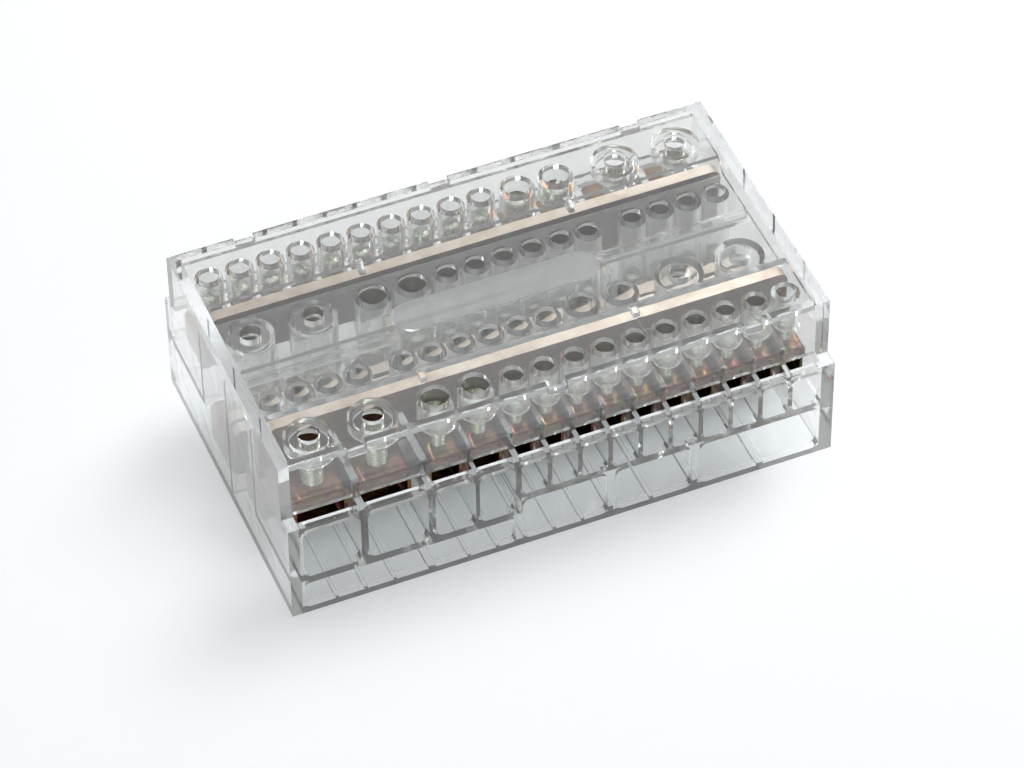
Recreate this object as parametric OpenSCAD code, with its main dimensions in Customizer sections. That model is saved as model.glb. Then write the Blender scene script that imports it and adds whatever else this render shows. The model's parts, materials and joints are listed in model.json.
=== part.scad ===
// Four-pole power distribution block, 125 A class: a clear one-piece housing with a clear lift-off lid,
// four L-section busbars on two levels, and 14 rising-cage terminals on each bar.
// Millimetres, +Z up. The origin is the middle of the underside. The long sides face -Y and +Y.
// Poles are numbered from the back: 1 and 4 are the high outer bars, 2 and 3 are the low inner bars.
// The rear half is the front half turned half a turn about the vertical axis.

/* [Housing] */
// Height of the low outer skirt, which is also the top of the outer bars' tongues
skirt_h = 29.3; // [29:0.1:30]
// Depth of the ledge between the skirt's face and the upper wall's face
ledge_d = 4.2; // [3.5:0.1:6]
// Thickness of the long outer walls
wall_t = 2; // [1.6:0.1:2.4]
// Thickness of the end plates
end_t = 3; // [2.4:0.1:3.6]
// Thickness of the floor
floor_t = 1.2; // [1:0.1:1.5]
// Height of the ribs on the floor of the lower wire entries
floor_rib_h = 1.4; // [0.8:0.1:2]
// Height of the bottom rail under the lower windows
sill_h = 1.8; // [1.6:0.1:2.4]
// Height of the underside of the low part of the shelf
shelf_low_z = 10; // [9:0.1:11]
// Height of the underside of the high part of the shelf
shelf_high_z = 15.2; // [14:0.1:16]
// Thickness of the shelf that parts the upper wire entries from the lower ones
shelf_t = 2.2; // [1.6:0.1:2.4]
// Height of the lip bar along the skirt's upper edge
lip_h = 2; // [1.6:0.1:2.4]
// Greatest thickness of a fin between two cages
fin_max_t = 1.8; // [1.2:0.1:2]
// Width of the thick posts in the skirt's windows
post_w = 2; // [1.6:0.1:2.6]
// Width of the corner posts at the skirt's ends
corner_w = 3.6; // [3:0.1:4]
// Thickness of the inner partitions
partition_t = 1.2; // [0.8:0.1:1.4]
// Radius of the rounded corners of the wide windows
window_r = 2; // [1:0.1:3]

/* [Lid] */
// How far the lid's top lies below the rim
lid_sink = 1; // [0.6:0.1:1.2]
// Thickness of the lid's plate
lid_t = 2; // [1.8:0.1:2.1]
// Depth of the trough along the lid's middle
trough_drop = 3.3; // [3:0.1:3.4]
// Width of the trough's floor
trough_w = 31.8; // [31:0.1:32.4]
// Width of each sloped side of the trough
slope_w = 3.6; // [3:0.1:4]
// Length of the label pad in the trough
pad_l = 53; // [40:1:60]
// Width of the label pad
pad_w = 9.4; // [6:0.1:10]
// Height of the label pad
pad_h = 0.7; // [0.4:0.1:1.2]
// Width of the ears that sit in the notches of the long walls
ear_w = 4.4; // [3:0.1:6]
// Distance of the outer ears from the middle one
ear_pitch = 50.5; // [40:0.5:55]
// Distance of the two hold-down ribs from the middle
rib_x = 27.2; // [24:0.1:29]
// Thickness of the hold-down ribs
rib_t = 1.6; // [1.2:0.1:2]

/* [Busbars] */
// Thickness of a bar's upright web
web_t = 3; // [2.4:0.1:3.2]
// Thickness of the tongues that reach into the cages
tongue_t = 2.5; // [2:0.1:2.8]
// Radius of a bar's upper corners
bar_r = 2.5; // [1:0.1:4]

/* [Large terminals] */
// Distance of the first large terminal from the housing's end
large_inset = 11; // [10.6:0.1:12]
// Distance between the two large terminals
large_pitch = 16; // [15.8:0.1:17]
// Width of a large cage
large_w = 13.6; // [13:0.1:13.8]
// Depth of a large cage
large_d = 12.1; // [11.4:0.1:12.2]
// Strip thickness of a large cage
large_strip = 0.9; // [0.7:0.05:1]
// Clear height for the wire below the tongue in an open large cage
large_open = 7.2; // [6.6:0.1:7.4]
// Distance of the large screws from the bar's web
large_reach = 6.7; // [6.6:0.05:6.75]
// Thread diameter of a large screw
large_screw_d = 5.8; // [5:0.1:6]
// Length of a large screw
large_screw_l = 10.4; // [10:0.1:10.5]
// Key size of a large screw's socket
large_key = 3.4; // [2.5:0.1:4]
// Outer diameter of a large boss on the lid
large_boss_d = 12; // [11:0.1:12.2]
// Diameter of the key hole over a large screw
key_hole_d = 5.4; // [4.5:0.1:5.6]
// Diameter of the chamber under a large key hole
chamber_d = 9.6; // [8:0.1:10]
// Depth of a large key hole in the outer rows
key_seat_out = 2.5; // [2:0.1:3]
// Depth of a large key hole in the inner rows
key_seat_in = 4; // [3:0.1:6]

/* [Medium terminals] */
// Distance from the second large terminal to the first medium one
medium_gap = 15.5; // [15:0.1:16]
// Distance between the two medium terminals
medium_pitch = 10.2; // [10.1:0.1:11]
// Width of a medium cage
medium_w = 8.6; // [8.2:0.1:8.8]
// Depth of a medium cage
medium_d = 11; // [10:0.1:11.1]
// Strip thickness of a medium cage
medium_strip = 0.8; // [0.6:0.05:0.9]
// Clear height for the wire below the tongue in an open medium cage
medium_open = 6.6; // [6:0.1:6.8]
// Distance of the medium screws from the bar's web
medium_reach = 7.15; // [7:0.05:7.25]
// Thread diameter of a medium screw
medium_screw_d = 3.8; // [3.4:0.1:4]
// Length of a medium screw under its head
medium_shank_l = 7.8; // [7.6:0.1:8]
// Diameter of a medium screw's head
medium_head_d = 6.2; // [5.6:0.1:6.4]
// Height of a medium screw's head
medium_head_h = 3.6; // [3:0.1:3.8]
// Wall of a medium guide tube on the lid
medium_tube_t = 1.1; // [0.9:0.1:1.2]

/* [Small terminals] */
// Distance from the second medium terminal to the first small one in the outer rows
small_gap_out = 9.4; // [9.1:0.1:10]
// Distance from the second medium terminal to the first small one in the inner rows
small_gap_in = 9.2; // [9:0.1:9.6]
// Distance between the small terminals of the outer rows
small_pitch_out = 7.8; // [7.6:0.05:8.2]
// Distance between the small terminals of the inner rows
small_pitch_in = 7.35; // [7.3:0.05:7.6]
// Number of small terminals in the first group of an inner row
small_group = 6; // [5:1:7]
// Number of small terminals on each bar
small_count = 10; // [9:1:11]
// Distance of the last small terminal from the housing's end
small_inset = 7.7; // [7.5:0.1:9]
// Width of a small cage
small_w = 6; // [5.6:0.1:6.1]
// Depth of a small cage
small_d = 9.4; // [8.6:0.1:10]
// Strip thickness of a small cage
small_strip = 0.7; // [0.5:0.05:0.75]
// Clear height for the wire below the tongue in an open small cage
small_open = 5; // [4.6:0.1:5.2]
// Distance of the small screws from the bar's web
small_reach = 7.6; // [7.4:0.05:7.7]
// Thread diameter of a small screw
small_screw_d = 3; // [2.6:0.1:3.2]
// Length of a small screw under its head
small_shank_l = 6; // [5.8:0.1:6.2]
// Diameter of a small screw's head
small_head_d = 4.4; // [4:0.1:4.5]
// Height of a small screw's head
small_head_h = 2.9; // [2.4:0.1:3.2]
// Wall of a small guide tube on the lid
small_tube_t = 1; // [0.8:0.1:1.05]

/* [Clearances] */
// Gap between a moving piece and what guides it
gap = 0.3; // [0.2:0.05:0.35]
// Slit between the two layers of a cage's doubled top
slit = 0.15; // [0.1:0.05:0.25]
// Gap round a screw's thread in the cage's hole
thread_gap = 0.2; // [0.15:0.05:0.3]
// Extra distance of the outer rows' screws from their bar
outer_shift = 0.3; // [0.2:0.05:0.5]
// Room between the outer cages and the upper wall
front_room = 1.3; // [0.8:0.1:2]
// Room between the top of the large screws and the top of the lid
screw_room = 5.5; // [5:0.1:8]
// Room between the outer bars and the lid
bar_room = 2.2; // [1.8:0.1:3]
// Room between the floor and the inner cages
floor_room = 1.7; // [0.8:0.1:2.5]

/* [Hidden] */
$fn = 40;
eps = 0.01;
marks = ["a", "b"];
half_turn = 180;

// Lengths along the housing, from one end to the other
row_l = large_pitch + medium_gap + medium_pitch + small_gap_out + (small_count - 1) * small_pitch_out;
body_l = large_inset + row_l + small_inset;
half_l = body_l / 2;
inner_l = body_l - 2 * end_t;

// Distances from the middle plane to each layer of the front half
core_face = partition_t / 2;
web_in = core_face + gap;
web_in_face = web_in + web_t;
wall_in = web_in_face + large_reach + large_d / 2 + gap;
wall_in_face = wall_in + partition_t;
web_out = wall_in_face + gap;
web_out_face = web_out + web_t;
cage_front = web_out_face + large_reach + outer_shift + large_d / 2;
upper_in = cage_front + front_room;
upper_face = upper_in + wall_t;
skirt_face = upper_face + ledge_d;

// Heights
tongue_top = skirt_h;
web_foot = tongue_top - tongue_t - gap;
strap_z = tongue_top + gap;
large_top = strap_z + large_screw_l;
lid_top = large_top + screw_room;
body_h = lid_top + lid_sink;
trough_z = lid_top - trough_drop;
lid_under = lid_top - lid_t;
trough_under = trough_z - lid_t;
web_rise = lid_under - bar_room - tongue_top;
web_top = tongue_top + web_rise;
inner_tongue_top = floor_t + floor_room + large_strip + large_open + tongue_t;
level_drop = tongue_top - inner_tongue_top;
medium_seat = strap_z + medium_shank_l;
small_seat = strap_z + small_shank_l;
fin_top = small_seat - 4 * gap;
partition_top = trough_under - gap;

// A size class is [width, depth, strip, clear height, reach, screw, tube bottom, tube outside]
medium_hole_d = medium_head_d + 2 * gap;
small_hole_d = small_head_d + 2 * gap;
large = [large_w, large_d, large_strip, large_open, large_reach, large_screw_d,
         large_top + gap, large_boss_d];
medium = [medium_w, medium_d, medium_strip, medium_open, medium_reach, medium_screw_d,
          medium_seat, medium_hole_d + 2 * medium_tube_t];
small = [small_w, small_d, small_strip, small_open, small_reach, small_screw_d,
         small_seat, small_hole_d + 2 * small_tube_t];
count = 4 + small_count;

function size(i) = i < 2 ? large : i < 4 ? medium : small;
function half_w(i) = size(i)[0] / 2;

// Screw axes along a row, counted from its large end
function medium_x(i) = -half_l + large_inset + large_pitch + medium_gap + (i - 2) * medium_pitch;
function outer_x(i) = i < 2 ? -half_l + large_inset + i * large_pitch
                    : i < 4 ? medium_x(i)
                    : half_l - small_inset - (count - 1 - i) * small_pitch_out;
function inner_x(i) = i < 4 ? outer_x(i)
                    : i < 4 + small_group ? medium_x(3) + small_gap_in + (i - 4) * small_pitch_in
                    : half_l - small_inset - (count - 1 - i) * small_pitch_in;

function is_outer(row) = row == 1 || row == 4;
function level(row) = is_outer(row) ? 0 : -level_drop;
function axis_x(row, i) = is_outer(row) ? outer_x(i) : -inner_x(i);
function axis_y(row, i) = is_outer(row) ? -(web_out_face + size(i)[4] + outer_shift)
                                        : -(web_in_face + size(i)[4]);

// Fins stand midway between neighbouring cages: [position, thickness]
function fin(row, i) = let (
    side = is_outer(row) ? 1 : -1,
    from = side * axis_x(row, i) + half_w(i),
    to = side * axis_x(row, i + 1) - half_w(i + 1)
) [side * (from + to) / 2, min(fin_max_t, to - from - 2 * gap)];
step_x = fin(4, 3)[0];
function shelf_z(x) = x < step_x ? shelf_low_z : shelf_high_z;

// ---- shared shapes ----

// Block between two corners
module span(from, to) {
    translate(from) cube(to - from);
}

// Rectangle between two corners with round corners of radius r
module round_span(from, to, r) {
    size = to - from;
    translate(from) {
        translate([r, 0]) square([size.x - 2 * r, size.y]);
        translate([0, r]) square([size.x, size.y - 2 * r]);
        for (x = [r, size.x - r], y = [r, size.y - r]) translate([x, y]) circle(r);
    }
}

// Stands an XZ outline between two depths
module along_y(from, to) {
    translate([0, to, 0]) rotate([90, 0, 0]) linear_extrude(to - from) children();
}

// Stands a YZ outline between two lengths
module along_x(from, to) {
    translate([from, 0, 0]) rotate([90, 0, 90]) linear_extrude(to - from) children();
}

// Puts a row that was drawn in the front half in its own half
module in_half(row) {
    rotate([0, 0, row < 3 ? half_turn : 0]) children();
}

module on_axis(row, i) {
    in_half(row) translate([axis_x(row, i), axis_y(row, i), level(row)]) children();
}

// ---- housing ----

module end_outline() {
    translate([-skirt_face, 0]) square([2 * skirt_face, skirt_h]);
    translate([-upper_face, 0]) square([2 * upper_face, body_h]);
}

// Cross-section of the stepped shelf, seen from the front
module shelf_outline() {
    riser = [step_x - post_w / 2, step_x + post_w / 2];
    translate([-half_l + end_t - eps, shelf_low_z]) square([riser[1] + half_l - end_t, shelf_t]);
    translate([riser[0], shelf_high_z]) square([half_l - end_t - riser[0] + eps, shelf_t]);
    translate([riser[0], shelf_low_z]) square([post_w, shelf_high_z - shelf_low_z + shelf_t]);
}

// Openings of the skirt below the shelf
module lower_windows() {
    edge = half_l - corner_w;
    riser = post_w / 2;
    low = [[-edge, sill_h], [step_x - riser, shelf_low_z]];
    round_span(low[0], low[1], window_r / 2);
    posts = [step_x, fin(3, 3)[0], fin(3, 1)[0], edge + riser];
    for (k = [0:2])
        round_span([posts[k] + riser, sill_h], [posts[k + 1] - riser, shelf_high_z], window_r);
}

// Openings of the skirt above the shelf, one for each outer terminal
module upper_windows() {
    for (i = [0:count - 1]) {
        from = i == 0 ? -half_l + corner_w : fin(4, i - 1)[0] + fin(4, i - 1)[1] / 2;
        to = i == count - 1 ? half_l - corner_w : fin(4, i)[0] - fin(4, i)[1] / 2;
        r = i < 4 ? window_r : window_r / 2;
        round_span([from, shelf_z(outer_x(i)) + shelf_t], [to, skirt_h - lip_h], r);
    }
}

module skirt() {
    along_y(-skirt_face, -skirt_face + wall_t) difference() {
        translate([-half_l + eps, 0]) square([body_l - 2 * eps, skirt_h]);
        lower_windows();
        upper_windows();
    }
}

module upper_wall() {
    difference() {
        span([-half_l + eps, -upper_face, skirt_h + 2 * gap], [half_l - eps, -upper_in, body_h]);
        for (x = [-ear_pitch, 0, ear_pitch])
            span([x - ear_w / 2 - gap, -upper_face - 1, lid_under - gap],
                 [x + ear_w / 2 + gap, -upper_in + 1, body_h + 1]);
    }
}

// Fin between two outer cages, seen from the side
module outer_fin_outline(foot) {
    translate([-skirt_face, foot]) square([skirt_face - wall_in_face + eps, web_foot - foot]);
    translate([-skirt_face, foot]) square([skirt_face - web_out_face - gap, skirt_h - foot]);
    translate([-upper_face, foot]) square([upper_face - web_out_face - gap, fin_top - foot]);
}

// Fin between two inner cages, seen from the side
module inner_fin_outline() {
    translate([-wall_in_face, 0]) square([wall_in_face, web_foot - level_drop]);
    translate([-wall_in_face, 0])
        square([wall_in_face - web_in_face - gap, fin_top - level_drop]);
    translate([-skirt_face, 0]) square([skirt_face, floor_t + floor_rib_h]);
}

module fins() {
    for (i = [0:count - 2]) {
        outer = fin(4, i);
        inner = fin(3, i);
        along_x(outer[0] - outer[1] / 2, outer[0] + outer[1] / 2)
            outer_fin_outline(shelf_z(outer[0] + eps));
        along_x(inner[0] - inner[1] / 2, inner[0] + inner[1] / 2) inner_fin_outline();
    }
}

// Wall between an outer bar and the inner cages, standing on the shelf
module partition() {
    along_y(-wall_in_face, -wall_in) {
        shelf_outline();
        translate([-half_l + eps, shelf_high_z]) square([body_l - 2 * eps, partition_top - shelf_high_z]);
        translate([-half_l + eps, shelf_low_z])
            square([step_x + half_l, shelf_high_z - shelf_low_z + eps]);
    }
}

module housing_half() {
    skirt();
    upper_wall();
    fins();
    partition();
    along_y(-skirt_face + eps, -wall_in) shelf_outline();
}

module base() {
    color("gainsboro", 0.35) {
        for (row = [1, 4]) in_half(row) housing_half();
        along_x(-half_l, -half_l + end_t) end_outline();
        along_x(half_l - end_t, half_l) end_outline();
        span([-half_l + eps, -skirt_face + eps, 0], [half_l - eps, skirt_face - eps, floor_t]);
        span([-half_l + eps, -core_face, 0], [half_l - eps, core_face, partition_top]);
    }
}

// ---- lid ----

// Half of the lid's cross-section, from the middle of the trough to the long wall
module lid_outline() {
    bend = lid_t * tan(atan2(trough_drop, slope_w) / 2);
    foot = trough_w / 2;
    edge = upper_in - gap;
    polygon([
        [0, trough_z], [foot, trough_z], [foot + slope_w, lid_top], [edge, lid_top],
        [edge, lid_under], [foot + slope_w + bend, lid_under], [foot + bend, trough_under],
        [0, trough_under]
    ]);
}

module lid_plate() {
    along_x(-half_l + end_t + gap, half_l - end_t - gap) {
        lid_outline();
        mirror([1, 0]) lid_outline();
    }
}

// Surface of the lid over a row
function plate_z(row) = is_outer(row) ? lid_top : trough_z;

module tube_body(row, i) {
    foot = size(i)[6] + level(row);
    in_half(row) translate([axis_x(row, i), axis_y(row, i), foot])
        cylinder(h = plate_z(row) - foot, d = size(i)[7]);
}

module tube_bore(row, i) {
    foot = size(i)[6] + level(row);
    top = plate_z(row);
    seat = top - (is_outer(row) ? key_seat_out : key_seat_in);
    hole_d = i < 2 ? key_hole_d : size(i)[7] - 2 * (i < 4 ? medium_tube_t : small_tube_t);
    in_half(row) translate([axis_x(row, i), axis_y(row, i), 0]) {
        translate([0, 0, foot - 1]) cylinder(h = top - foot + 2, d = hole_d);
        if (i < 2) translate([0, 0, foot - 1]) cylinder(h = seat - foot + 1, d = chamber_d);
    }
}

// Rib that keeps the front bars down, with a foot over each bar
module hold_down(x) {
    bar_in_top = web_top - level_drop + gap;
    span([x - rib_t / 2, -web_in_face - gap, bar_in_top], [x + rib_t / 2, -web_in, trough_z - eps]);
    span([x - rib_t / 2, -web_out_face, web_top + gap],
         [x + rib_t / 2, -web_out_face + web_t, lid_under + eps]);
    span([x - rib_t / 2, -web_out_face - 2 * web_t, lid_under - gap],
         [x + rib_t / 2, -web_out_face + eps, lid_under + eps]);
}

module label_pad() {
    straight = (pad_l - pad_w) / 2;
    translate([0, 0, trough_z - eps]) {
        span([-straight, -pad_w / 2, 0], [straight, pad_w / 2, pad_h]);
        for (x = [-straight, straight]) translate([x, 0, 0]) cylinder(h = pad_h, d = pad_w);
    }
}

module lid_half() {
    for (x = [-rib_x, rib_x]) hold_down(x);
    for (x = [-ear_pitch, 0, ear_pitch])
        span([x - ear_w / 2, -upper_face, lid_under], [x + ear_w / 2, -upper_in + 1, lid_top]);
    label_rib = -(web_in + web_t - rib_t / 2);
    span([-half_l + end_t + gap, label_rib - rib_t / 2, trough_under - lid_t],
         [-pad_l / 2, label_rib + rib_t / 2, trough_under + eps]);
}

module lid() {
    color("gainsboro", 0.35) difference() {
        union() {
            lid_plate();
            label_pad();
            for (row = [1, 4]) in_half(row) lid_half();
            for (row = [1:4], i = [0:count - 1]) tube_body(row, i);
        }
        for (row = [1:4], i = [0:count - 1]) tube_bore(row, i);
    }
}

// ---- bars ----

module web_outline(top) {
    low = top - web_rise - tongue_t;
    left = -half_l + end_t + gap;
    difference() {
        round_span([left, low - bar_r], [-left, top], bar_r);
        translate([left - 1, low - 2 * bar_r]) square([-2 * left + 2, 2 * bar_r]);
    }
}

module busbar(row) {
    face = is_outer(row) ? web_out_face : web_in_face;
    top = tongue_top + level(row);
    color("peru") in_half(row) {
        along_y(-face, -face + web_t) web_outline(top + web_rise);
        for (i = [0:count - 1]) {
            half = half_w(i) - size(i)[2] - gap;
            front = axis_y(row, i) - size(i)[1] / 2 + 2 * gap;
            span([axis_x(row, i) - half, front, top - tongue_t],
                 [axis_x(row, i) + half, -face + eps, top]);
        }
    }
}

// ---- terminals ----

// Bent strip of a cage, seen from the front: a closed ring whose end laps under its top
module cage_outline(class) {
    half = class[0] / 2;
    t = class[2];
    floor_z = tongue_top - tongue_t - class[3];
    top = strap_z + 2 * t + slit;
    difference() {
        round_span([-half, floor_z - t], [half, top], 2 * t);
        round_span([-half + t, floor_z], [half - t, top - t], t);
    }
    translate([-half + 2 * t, strap_z]) square([2 * half - 3 * t + eps, t]);
}

module cage(class) {
    color("darkgoldenrod") difference() {
        along_y(-class[1] / 2, class[1] / 2) cage_outline(class);
        translate([0, 0, strap_z - 1])
            cylinder(h = 2 * class[2] + slit + 2, d = class[5] + 2 * thread_gap);
    }
}

// Headless screw with a hexagon socket
module large_screw() {
    tip = large_screw_d / 8;
    color("silver") difference() {
        union() {
            translate([0, 0, strap_z]) cylinder(h = tip, d1 = large_screw_d - 2 * tip, d2 = large_screw_d);
            translate([0, 0, strap_z + tip]) cylinder(h = large_screw_l - tip, d = large_screw_d);
        }
        translate([0, 0, large_top - large_key])
            cylinder(h = large_key + 1, d = large_key / cos(30), $fn = 6);
    }
}

// Cheese-head screw with a slot
module headed_screw(d, shank_l, head_d, head_h) {
    slot_w = head_d / 6;
    color("silver") difference() {
        union() {
            translate([0, 0, strap_z]) cylinder(h = shank_l + eps, d = d);
            translate([0, 0, strap_z + shank_l]) cylinder(h = head_h, d = head_d);
        }
        translate([0, 0, strap_z + shank_l + head_h])
            cube([head_d + 1, slot_w, head_h], center = true);
    }
}

module medium_screw() {
    headed_screw(medium_screw_d, medium_shank_l, medium_head_d, medium_head_h);
}

module small_screw() {
    headed_screw(small_screw_d, small_shank_l, small_head_d, small_head_h);
}

base();
lid();
for (row = [1:4]) {
    busbar(row);
    for (k = [0, 1]) {
        on_axis(row, k) cage(large);
        on_axis(row, k) large_screw();
        on_axis(row, k + 2) cage(medium);
        on_axis(row, k + 2) medium_screw();
    }
    for (i = [4:count - 1]) on_axis(row, i) cage(small);
    for (i = [4:count - 1]) on_axis(row, i) small_screw();
}
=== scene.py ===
"""Four-pole power distribution block in clear plastic: finishes, threads, studio and camera."""
import json
import math

import bpy
from mathutils import Matrix, Vector


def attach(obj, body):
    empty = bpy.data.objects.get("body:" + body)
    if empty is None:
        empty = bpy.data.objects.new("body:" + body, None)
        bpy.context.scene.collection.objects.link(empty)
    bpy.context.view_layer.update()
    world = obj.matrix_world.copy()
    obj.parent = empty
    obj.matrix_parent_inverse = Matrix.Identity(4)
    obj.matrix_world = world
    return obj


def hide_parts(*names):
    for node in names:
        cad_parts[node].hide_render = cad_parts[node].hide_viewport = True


MM = 0.001
WHITE = (1.0, 1.0, 1.0, 1.0)
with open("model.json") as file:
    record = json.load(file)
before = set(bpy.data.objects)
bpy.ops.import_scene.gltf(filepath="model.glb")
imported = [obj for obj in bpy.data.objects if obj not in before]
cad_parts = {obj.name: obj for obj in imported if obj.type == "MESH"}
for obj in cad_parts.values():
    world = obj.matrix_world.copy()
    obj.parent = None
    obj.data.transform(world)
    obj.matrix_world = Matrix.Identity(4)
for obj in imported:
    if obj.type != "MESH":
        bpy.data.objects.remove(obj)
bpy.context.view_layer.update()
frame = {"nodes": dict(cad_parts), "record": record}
ROWS = (1, 2, 3, 4)
MARKS = ("a", "b")


# ---- small helpers ----

def new_material(name):
    """A material with a Principled shader: the material, its node tree and the shader."""
    mat = bpy.data.materials.new(name)
    mat.use_nodes = True
    tree = mat.node_tree
    return mat, tree, tree.nodes["Principled BSDF"]


def add_node(tree, kind, **inputs):
    """A node of that kind with some of its inputs set, by name."""
    node = tree.nodes.new(kind)
    for name, value in inputs.items():
        node.inputs[name.replace("_", " ")].default_value = value
    return node


def object_noise(tree, scale, detail=3.0, rough=0.5):
    """Output of a noise that is fixed to the object, with its scale in features per metre."""
    coords = tree.nodes.new("ShaderNodeTexCoord")
    noise = add_node(tree, "ShaderNodeTexNoise", Scale=scale, Detail=detail, Roughness=rough)
    tree.links.new(coords.outputs["Object"], noise.inputs["Vector"])
    return noise.outputs["Fac"]


def ramp(tree, source, stops):
    """Output of a colour ramp over source, with stops as (place, colour)."""
    node = tree.nodes.new("ShaderNodeValToRGB")
    elements = node.color_ramp.elements
    while len(elements) < len(stops):
        elements.new(0.5)
    for element, (place, colour) in zip(elements, stops):
        element.position = place
        element.color = (*colour, 1.0)
    tree.links.new(source, node.inputs["Fac"])
    return node.outputs["Color"]


def bump(tree, height, shader, strength, distance):
    """Bumps a shader's normal by a height."""
    node = add_node(tree, "ShaderNodeBump", Strength=strength, Distance=distance)
    tree.links.new(height, node.inputs["Height"])
    tree.links.new(node.outputs["Normal"], shader.inputs["Normal"])


def roughness(tree, source, shader, low, high):
    """Drives a shader's roughness from low to high by a source from 0 to 1."""
    span = add_node(tree, "ShaderNodeMapRange", To_Min=low, To_Max=high)
    tree.links.new(source, span.inputs["Value"])
    tree.links.new(span.outputs["Result"], shader.inputs["Roughness"])


def calculate(tree, operation, first, second):
    """Output of a Math node on two inputs, each a socket or a number."""
    node = tree.nodes.new("ShaderNodeMath")
    node.operation = operation
    for socket, value in zip(node.inputs, (first, second)):
        if isinstance(value, float):
            socket.default_value = value
        else:
            tree.links.new(value, socket)
    return node.outputs["Value"]


def paint_light_by_facing(tree, first, second):
    """Blends two colours by the way a face looks: the first, painted shade, on upright and
    hanging faces, the second, painted light, on faces that look up.
    """
    geometry = tree.nodes.new("ShaderNodeNewGeometry")
    split = tree.nodes.new("ShaderNodeSeparateXYZ")
    tree.links.new(geometry.outputs["Normal"], split.inputs["Vector"])
    # How much painted light a face gets, from how far it looks up.
    painted_light_share = add_node(tree, "ShaderNodeMapRange", From_Min=0.3, From_Max=0.9)
    tree.links.new(split.outputs["Z"], painted_light_share.inputs["Value"])
    mix = tree.nodes.new("ShaderNodeMix")
    mix.data_type = "RGBA"
    tree.links.new(painted_light_share.outputs["Result"], mix.inputs["Factor"])
    tree.links.new(first, mix.inputs["A"])
    tree.links.new(second, mix.inputs["B"])
    return mix.outputs["Result"]


# ---- materials ----

PLASTIC_TINT = (0.965, 0.975, 0.97)
PLASTIC_SHADOW = (0.92, 0.93, 0.935)
PLASTIC_IOR = 1.585
PLASTIC_ROUGHNESS = 0.02

# The raised label pad in the lid's trough: half the length of its straight part,
# the radius of its round ends, and the height above which it is frosted.
PAD_REACH = 21.8 * MM
PAD_RADIUS = 4.7 * MM
PAD_FOOT = 42.3 * MM
PAD_ROUGHNESS = 0.32


def clear_plastic(name, clearness):
    """Clear moulded plastic, faintly wavy, whose haze grows as clearness goes below 1.

    Shadow rays pass through it, tinted, so the lamps light what is inside and under it.
    """
    mat, tree, shader = new_material(name)
    shader.inputs["Base Color"].default_value = (*PLASTIC_TINT, 1.0)
    shader.inputs["Transmission Weight"].default_value = clearness
    shader.inputs["IOR"].default_value = PLASTIC_IOR
    shader.inputs["Roughness"].default_value = PLASTIC_ROUGHNESS
    waves = object_noise(tree, scale=160.0, detail=2.0)
    bump(tree, waves, shader, strength=0.12, distance=0.4 * MM)
    path = tree.nodes.new("ShaderNodeLightPath")
    clear = tree.nodes.new("ShaderNodeBsdfTransparent")
    clear.inputs["Color"].default_value = (*PLASTIC_SHADOW, 1.0)
    mix = tree.nodes.new("ShaderNodeMixShader")
    tree.links.new(path.outputs["Is Shadow Ray"], mix.inputs["Fac"])
    tree.links.new(shader.outputs["BSDF"], mix.inputs[1])
    tree.links.new(clear.outputs["BSDF"], mix.inputs[2])
    tree.links.new(mix.outputs["Shader"], tree.nodes["Material Output"].inputs["Surface"])
    return mat


def frost_label_pad(mat):
    """Roughens the label pad, a bar with round ends along X, and nothing else of the lid."""
    tree = mat.node_tree
    coords = tree.nodes.new("ShaderNodeTexCoord")
    split = tree.nodes.new("ShaderNodeSeparateXYZ")
    tree.links.new(coords.outputs["Object"], split.inputs["Vector"])
    along = calculate(tree, "ABSOLUTE", split.outputs["X"], 0.0)
    beyond = calculate(tree, "MAXIMUM", calculate(tree, "SUBTRACT", along, PAD_REACH), 0.0)
    across = split.outputs["Y"]
    far = calculate(tree, "ADD",
                    calculate(tree, "MULTIPLY", beyond, beyond),
                    calculate(tree, "MULTIPLY", across, across))
    inside = calculate(tree, "LESS_THAN", far, PAD_RADIUS ** 2)
    raised = calculate(tree, "GREATER_THAN", split.outputs["Z"], PAD_FOOT)
    on_pad = calculate(tree, "MULTIPLY", inside, raised)
    roughness(tree, on_pad, tree.nodes["Principled BSDF"], PLASTIC_ROUGHNESS, PAD_ROUGHNESS)


def copper(name):
    """Dulled copper with dark oxide clouds, with painted light on faces that look up and painted
    shade, near black, on upright and hanging faces.
    """
    mat, tree, shader = new_material(name)
    shader.inputs["Metallic"].default_value = 1.0
    clouds = object_noise(tree, scale=140.0, detail=5.0, rough=0.6)
    # Painted shade: dark colours for upright and hanging faces, varied by the clouds.
    shaded_faces = ramp(tree, clouds, [
        (0.3, (0.085, 0.055, 0.042)), (0.5, (0.14, 0.095, 0.075)), (0.7, (0.21, 0.145, 0.115))])
    # Painted light: bright colours for faces that look up, varied by the clouds.
    lit_faces = ramp(tree, clouds, [
        (0.3, (0.58, 0.46, 0.37)), (0.5, (0.78, 0.66, 0.56)), (0.7, (0.90, 0.81, 0.72))])
    tree.links.new(paint_light_by_facing(tree, shaded_faces, lit_faces), shader.inputs["Base Color"])
    grain = object_noise(tree, scale=900.0)
    roughness(tree, grain, shader, 0.28, 0.46)
    bump(tree, grain, shader, strength=0.1, distance=0.05 * MM)
    return mat


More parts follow.
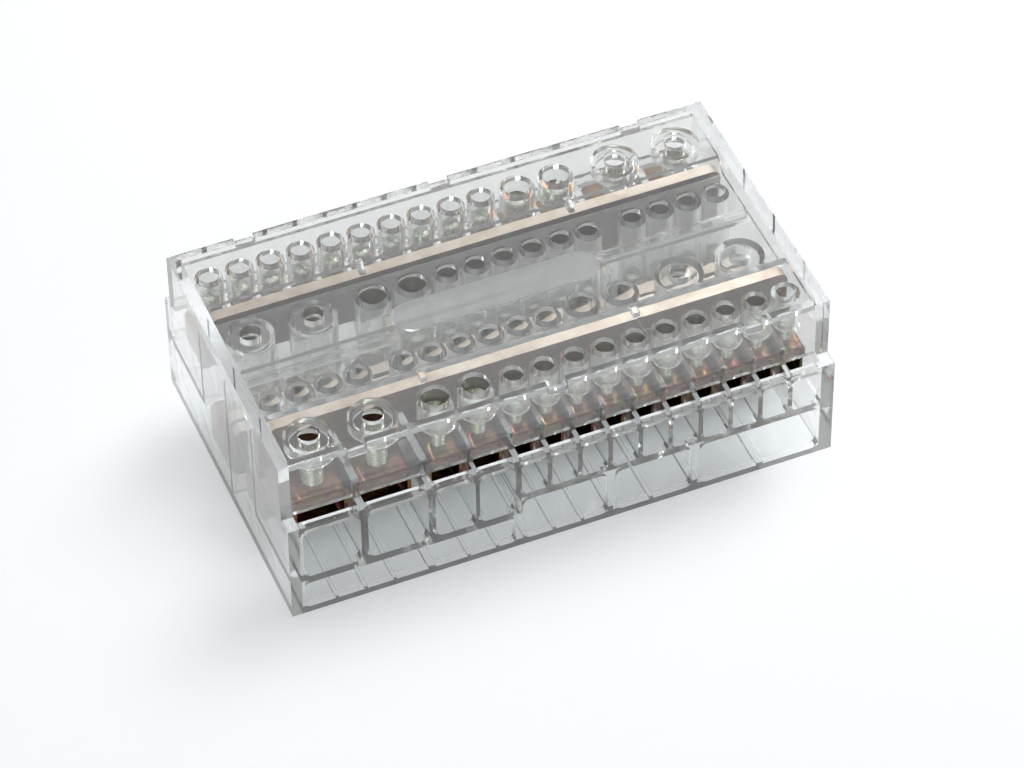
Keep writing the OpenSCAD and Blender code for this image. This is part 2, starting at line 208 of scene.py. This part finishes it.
def passivated(name):
    """Zinc plate with a yellow passivation, which shimmers from gold to pink and green, darkened
    by painted shade on upright and hanging faces and brightened by painted light on faces that
    look up.
    """
    mat, tree, shader = new_material(name)
    shader.inputs["Metallic"].default_value = 1.0
    clouds = object_noise(tree, scale=210.0, detail=2.0, rough=0.55)
    # Painted shade: the shimmer in dark colours for upright and hanging faces.
    shaded_faces = ramp(tree, clouds, [
        (0.28, (0.06, 0.08, 0.04)), (0.4, (0.18, 0.12, 0.04)), (0.48, (0.15, 0.05, 0.035)),
        (0.55, (0.08, 0.025, 0.03)), (0.63, (0.18, 0.11, 0.045)), (0.74, (0.06, 0.07, 0.05))])
    # Painted light: the shimmer in bright colours for faces that look up.
    lit_faces = ramp(tree, clouds, [
        (0.28, (0.20, 0.28, 0.14)), (0.4, (0.55, 0.40, 0.14)), (0.48, (0.50, 0.20, 0.12)),
        (0.55, (0.30, 0.10, 0.12)), (0.63, (0.55, 0.36, 0.16)), (0.74, (0.18, 0.24, 0.16))])
    tree.links.new(paint_light_by_facing(tree, shaded_faces, lit_faces), shader.inputs["Base Color"])
    grain = object_noise(tree, scale=1500.0)
    roughness(tree, grain, shader, 0.10, 0.24)
    bump(tree, grain, shader, strength=0.08, distance=0.03 * MM)
    return mat


def zinc(name):
    """Bright zinc plate with a faint green and yellow cast."""
    mat, tree, shader = new_material(name)
    shader.inputs["Metallic"].default_value = 1.0
    clouds = object_noise(tree, scale=260.0, detail=2.0)
    colours = ramp(tree, clouds, [
        (0.35, (0.44, 0.50, 0.40)), (0.5, (0.58, 0.58, 0.48)), (0.65, (0.52, 0.57, 0.53))])
    tree.links.new(colours, shader.inputs["Base Color"])
    roughness(tree, object_noise(tree, scale=1800.0), shader, 0.18, 0.34)
    return mat


HOUSING = clear_plastic("clear_housing", clearness=0.93)
LID = clear_plastic("clear_lid", clearness=0.9)
frost_label_pad(LID)
COPPER = copper("dulled_copper")
CAGE = passivated("yellow_passivated_zinc")
SCREW = zinc("zinc_plate")


def finish_node(node, mat):
    """Gives a CAD node its material."""
    for slot in frame["nodes"][node].material_slots:
        slot.material = mat


finish_node("base", HOUSING)
finish_node("lid", LID)
for row in ROWS:
    finish_node(f"busbar_{row}", COPPER)
    finish_node(f"small_cages_{row}", CAGE)
    finish_node(f"small_screws_{row}", SCREW)
    for mark in MARKS:
        finish_node(f"large_cage_{row}{mark}", CAGE)
        finish_node(f"medium_cage_{row}{mark}", CAGE)
        finish_node(f"large_screw_{row}{mark}", SCREW)
        finish_node(f"medium_screw_{row}{mark}", SCREW)


# ---- screws, with their threads ----

SIDES = 36            # points round a ring
STEPS_A_TURN = 6      # rings in one pitch of thread
LAND_STEPS = 16       # steps along the arc of a land beside a slot
THREAD_DEPTH = 0.6    # of the pitch
THREAD_CREST = 0.12   # share of the flank's height that is left flat at the crest
SHARP_ANGLE = math.radians(50)

# Sizes of the three screws. The places and lengths come from the CAD nodes.
LARGE_SCREW = {"major": 5.8 * MM, "pitch": 1.0 * MM, "tip": 0.7 * MM,
               "socket": 3.4 * MM, "edge": 0.35 * MM}
MEDIUM_SCREW = {"major": 3.9 * MM, "pitch": 0.7 * MM, "head_d": 6.2 * MM, "head_h": 3.6 * MM}
SMALL_SCREW = {"major": 3.1 * MM, "pitch": 0.5 * MM, "head_d": 4.4 * MM, "head_h": 2.9 * MM}


def circle(radius, z):
    """A level ring of points; radius is a number or a function of the angle."""
    points = []
    for k in range(SIDES):
        angle = 2 * math.pi * k / SIDES
        r = radius(angle) if callable(radius) else radius
        points.append((r * math.cos(angle), r * math.sin(angle), z))
    return points


def hexagon(across_flats):
    """Radius of a hexagon as a function of the angle."""
    sector = math.pi / 3
    return lambda angle: across_flats / 2 / math.cos((angle + sector / 2) % sector - sector / 2)


def thread_rings(low, high, major, pitch, tip):
    """Rings of a helical thread from low to high, with a tapered tip at the low end."""
    depth = THREAD_DEPTH * pitch
    steps = round((high - low) / pitch * STEPS_A_TURN)
    rings = []
    for step in range(steps + 1):
        z = low + (high - low) * step / steps
        run_out = min(1.0, (high - z) / pitch)
        limit = major / 2 - tip + (z - low)

        def radius(angle, z=z, run_out=run_out, limit=limit):
            phase = (z / pitch - angle / (2 * math.pi)) % 1.0
            groove = 1 - abs(2 * phase - 1)
            cut = max(groove - THREAD_CREST, 0) / (1 - THREAD_CREST)
            return min(major / 2 - depth * cut * run_out, limit)

        rings.append(circle(radius, z))
    return rings


def skin(rings):
    """Points and faces of a closed solid that runs through rings of the same count."""
    n = len(rings[0])
    points = [p for ring in rings for p in ring]
    faces = [tuple(range(n))[::-1]]
    for k in range(len(rings) - 1):
        for j in range(n):
            a, b = k * n + j, k * n + (j + 1) % n
            faces.append((a, b, b + n, a + n))
    last = (len(rings) - 1) * n
    faces.append(tuple(range(last, last + n)))
    return points, faces


def land(radius, cut, low, high, side, bevel):
    """One of the two lands beside a screw's slot, as a closed solid; side is 1 or -1."""
    start = math.asin(cut / radius)
    arc = [start + (math.pi - 2 * start) * k / LAND_STEPS for k in range(LAND_STEPS + 1)]
    rings = []
    for z, r in ((low, radius), (high - bevel, radius), (high, radius - bevel)):
        rings.append([(side * r * math.cos(a), side * max(r * math.sin(a), cut), z) for a in arc])
    return skin(rings)


def headless_screw(low, high, major, pitch, tip, socket, edge):
    """Headless screw with a hexagon socket, as deep as it is wide, with a chamfered mouth."""
    rings = thread_rings(low, high - edge, major, pitch, tip)
    rings.append(circle(major / 2 - edge, high))
    rings.append(circle(hexagon(socket + 0.3 * MM), high))
    rings.append(circle(hexagon(socket), high - 0.15 * MM))
    rings.append(circle(hexagon(socket), high - socket))
    return [skin(rings)]


def headed_screw(low, high, major, pitch, head_d, head_h):
    """Cheese-head screw with a slot, half as deep as the head."""
    radius = head_d / 2
    seat = high - head_h
    slot_floor = high - head_h / 2
    shank = thread_rings(low, seat, major, pitch, pitch)
    shank.append(circle(major / 2, seat + 0.05 * MM))
    head = [circle(radius - 0.2 * MM, seat), circle(radius, seat + 0.2 * MM),
            circle(radius, slot_floor)]
    lands = [land(radius, head_d / 12, slot_floor - 0.01 * MM, high, side, bevel=0.3 * MM)
             for side in (1, -1)]
    return [skin(shank), skin(head), *lands]


def islands(node):
    """Lowest and highest corner of each separate solid of a CAD node."""
    mesh = frame["nodes"][node].data
    parent = list(range(len(mesh.vertices)))

    def root(k):
        while parent[k] != k:
            parent[k] = parent[parent[k]]
            k = parent[k]
        return k

    welded = {}
    for v in mesh.vertices:
        key = tuple(round(c, 6) for c in v.co)
        parent[v.index] = welded.setdefault(key, v.index)
    for edge in mesh.edges:
        a, b = (root(k) for k in edge.vertices)
        parent[a] = b
    groups = {}
    for v in mesh.vertices:
        groups.setdefault(root(v.index), []).append(v.co)
    boxes = [([min(c[k] for c in g) for k in range(3)], [max(c[k] for c in g) for k in range(3)])
             for g in groups.values()]
    return sorted(boxes)


def body_of(node):
    """Name of the body that a CAD node belongs to."""
    bodies = frame["record"]["behaviour"]["bodies"]
    return next(name for name, nodes in bodies.items() if node in nodes)


def dress_screws(node, solids_of, sizes, turn):
    """Replaces the screws of a node by threaded ones, each turned on by turn radians."""
    points, faces = [], []
    for k, (low, high) in enumerate(islands(node)):
        centre = Vector(((low[0] + high[0]) / 2, (low[1] + high[1]) / 2, 0))
        turned = Matrix.Rotation(turn * (k + 1), 3, "Z")
        for solid_points, solid_faces in solids_of(low[2], high[2], **sizes):
            first = len(points)
            points.extend(turned @ Vector(p) + centre for p in solid_points)
            faces.extend(tuple(first + i for i in face) for face in solid_faces)
    mesh = bpy.data.meshes.new(f"threaded_{node}")
    mesh.from_pydata(points, [], faces)
    mesh.materials.append(SCREW)
    piece = bpy.data.objects.new(f"threaded_{node}", mesh)
    bpy.context.collection.objects.link(piece)
    mesh.shade_smooth()
    mesh.set_sharp_from_angle(angle=SHARP_ANGLE)
    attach(piece, body_of(node))
    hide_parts(node)


for row in ROWS:
    dress_screws(f"small_screws_{row}", headed_screw, SMALL_SCREW, turn=1.1 + row)
    for k, mark in enumerate(MARKS):
        dress_screws(f"large_screw_{row}{mark}", headless_screw, LARGE_SCREW, turn=0.7 * row + k)
        dress_screws(f"medium_screw_{row}{mark}", headed_screw, MEDIUM_SCREW,
                     turn=0.9 * row + 2 * k)


# ---- studio ----

FLOOR_LIFT = 0.25     # light that the floor adds where it is seen, towards plain white
FLOOR_REACH = 4.0
FLOOR_GAP = 0.02 * MM
LAMP_AIM = Vector((0, 0, 0.02))
WORLD_STRENGTH = 0.3


def floor_material():
    """Pale floor that shows near white to the eye and in gloss, and keeps the object's shadow."""
    mat, tree, shader = new_material("pale_floor")
    shader.inputs["Base Color"].default_value = (0.86, 0.87, 0.89, 1.0)
    shader.inputs["Roughness"].default_value = 1.0
    shader.inputs["Specular IOR Level"].default_value = 0.0
    path = tree.nodes.new("ShaderNodeLightPath")
    seen = path.outputs["Is Camera Ray"]
    for name in ("Is Glossy Ray", "Is Transmission Ray"):
        seen = calculate(tree, "MAXIMUM", seen, path.outputs[name])
    lift = calculate(tree, "MULTIPLY", seen, FLOOR_LIFT)
    shader.inputs["Emission Color"].default_value = WHITE
    tree.links.new(lift, shader.inputs["Emission Strength"])
    return mat


floor_mesh = bpy.data.meshes.new("floor")
corners = [(x * FLOOR_REACH, y * FLOOR_REACH, 0) for x, y in ((-1, -1), (1, -1), (1, 1), (-1, 1))]
floor_mesh.from_pydata(corners, [], [(0, 1, 2, 3)])
floor = bpy.data.objects.new("floor", floor_mesh)
floor.location.z = -FLOOR_GAP
floor_mesh.materials.append(floor_material())
bpy.context.collection.objects.link(floor)


def area_lamp(name, place, size, power):
    """A square soft lamp that looks at the object; size in metres, power in watts."""
    data = bpy.data.lights.new(name, "AREA")
    data.shape = "SQUARE"
    data.size = size
    data.energy = power
    lamp = bpy.data.objects.new(name, data)
    lamp.location = place
    lamp.rotation_euler = (LAMP_AIM - Vector(place)).to_track_quat("-Z", "Y").to_euler()
    bpy.context.collection.objects.link(lamp)


area_lamp("key", (0.55, 0.35, 0.75), size=0.45, power=4.6)
area_lamp("fill", (-0.6, -0.7, 0.7), size=0.7, power=1.8)
area_lamp("top", (0.0, 0.1, 1.1), size=0.9, power=2.4)

world = bpy.data.worlds.new("studio")
world.use_nodes = True
backdrop = world.node_tree.nodes["Background"]
backdrop.inputs["Color"].default_value = WHITE
backdrop.inputs["Strength"].default_value = WORLD_STRENGTH

# ---- camera, at the photograph's viewing angle ----

AZIMUTH = math.radians(-21.93)
ELEVATION = math.radians(46.03)
ROLL = math.radians(-0.88)
DISTANCE = 1.2
TARGET = Vector((-0.24, -9.52, 19.72)) * MM
SENSOR_WIDTH = 36.0
FOCAL_WIDTHS = 4.863  # focal length in sensor widths
CLIP_END = 20.0

back = Vector((math.sin(AZIMUTH) * math.cos(ELEVATION),
               -math.cos(AZIMUTH) * math.cos(ELEVATION), math.sin(ELEVATION)))
right = (-back).cross(Vector((0, 0, 1))).normalized()
up = right.cross(-back)
rolled_right = math.cos(ROLL) * right + math.sin(ROLL) * up
rolled_up = -math.sin(ROLL) * right + math.cos(ROLL) * up
lens = bpy.data.cameras.new("camera")
lens.sensor_width = SENSOR_WIDTH
lens.lens = FOCAL_WIDTHS * SENSOR_WIDTH
lens.clip_end = CLIP_END
camera = bpy.data.objects.new("camera", lens)
axes = Matrix((rolled_right, rolled_up, back)).transposed().to_4x4()
camera.matrix_world = Matrix.Translation(TARGET + back * DISTANCE) @ axes
bpy.context.collection.objects.link(camera)

scene = bpy.context.scene
scene.world = world
scene.camera = camera
scene.view_settings.view_transform = "Standard"
scene.cycles.max_bounces = 20
scene.cycles.transmission_bounces = 20
scene.cycles.glossy_bounces = 8
scene.cycles.transparent_max_bounces = 48
